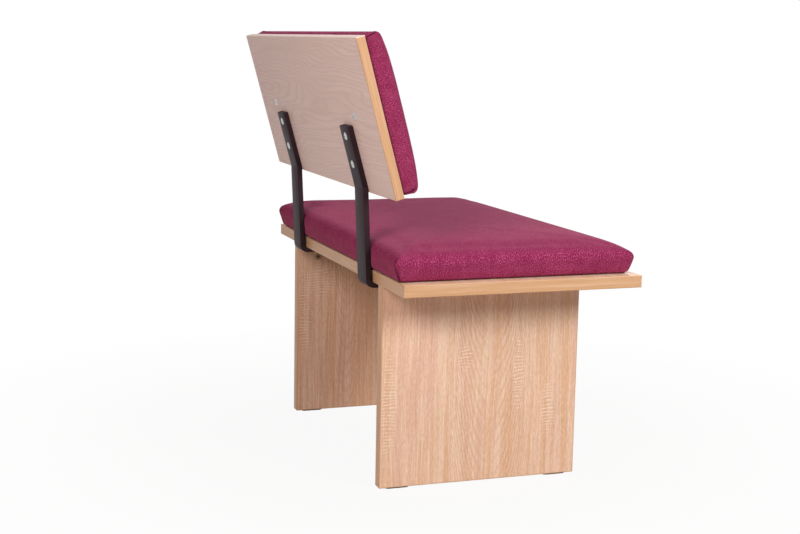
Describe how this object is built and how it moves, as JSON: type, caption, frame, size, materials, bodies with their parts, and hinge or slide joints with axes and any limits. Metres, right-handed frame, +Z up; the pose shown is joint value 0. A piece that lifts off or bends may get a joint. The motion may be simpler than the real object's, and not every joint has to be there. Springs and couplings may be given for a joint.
{
  "type": "bench with backrest",
  "caption": "Upholstered bench with slab legs, a padded seat board and a tilted, padded backrest on two bent flat bars.",
  "frame": {"origin": "middle of the whole bench's bounding box, on the floor plane at the undersides of the glides", "axes": "+Z up; X along the bench, with -X the left end seen from the front; the sitter faces -Y and the backrest is on the +Y side"},
  "size_m": [0.8, 0.5346, 0.8147],
  "materials": {
    "decor_board": "wood-grain decor paper on particle board, satin",
    "edge_band": "honey wood-grain edge band, satin",
    "black_steel": "black powder coat, satin",
    "zinc_plated_steel": "bright zinc plating",
    "zinc_casting": "die-cast zinc, dull",
    "beech": "raw beech",
    "plywood": "raw plywood",
    "foam": "open-cell upholstery foam",
    "raspberry_fabric": "raspberry melange weave, matt",
    "glide_plastic": "moulded brown plastic"
  },
  "bodies": {
    "root": {"seat_board": "decor_board", "seat_band_front": "edge_band", "seat_band_rear": "edge_band", "seat_band_left": "edge_band", "seat_band_right": "edge_band", "left_leg_panel": "decor_board", "left_leg_band_front": "edge_band", "left_leg_band_rear": "edge_band", "left_leg_band_bottom": "edge_band", "right_leg_panel": "decor_board", "right_leg_band_front": "edge_band", "right_leg_band_rear": "edge_band", "right_leg_band_bottom": "edge_band", "left_front_glide": "glide_plastic", "left_rear_glide": "glide_plastic", "right_front_glide": "glide_plastic", "right_rear_glide": "glide_plastic", "cam_locks": "zinc_casting", "cam_bolts": "zinc_plated_steel", "leg_dowels": "beech", "back_board": "decor_board", "back_band_top": "edge_band", "back_band_bottom": "edge_band", "back_band_left": "edge_band", "back_band_right": "edge_band", "left_back_bracket": "black_steel", "right_back_bracket": "black_steel", "bracket_back_screws": "zinc_plated_steel", "bracket_back_nuts": "zinc_plated_steel", "bracket_seat_screws": "zinc_plated_steel", "bracket_seat_nuts": "zinc_plated_steel", "seat_pad_base": "plywood", "seat_pad_foam": "foam", "seat_pad_cover": "raspberry_fabric", "seat_pad_staples": "zinc_plated_steel", "seat_pad_screws": "zinc_plated_steel", "seat_pad_nuts": "zinc_plated_steel", "back_pad_base": "plywood", "back_pad_foam": "foam", "back_pad_cover": "raspberry_fabric", "back_pad_staples": "zinc_plated_steel", "back_pad_screws": "zinc_plated_steel", "back_pad_nuts": "zinc_plated_steel"}
  },
  "joints": []
}
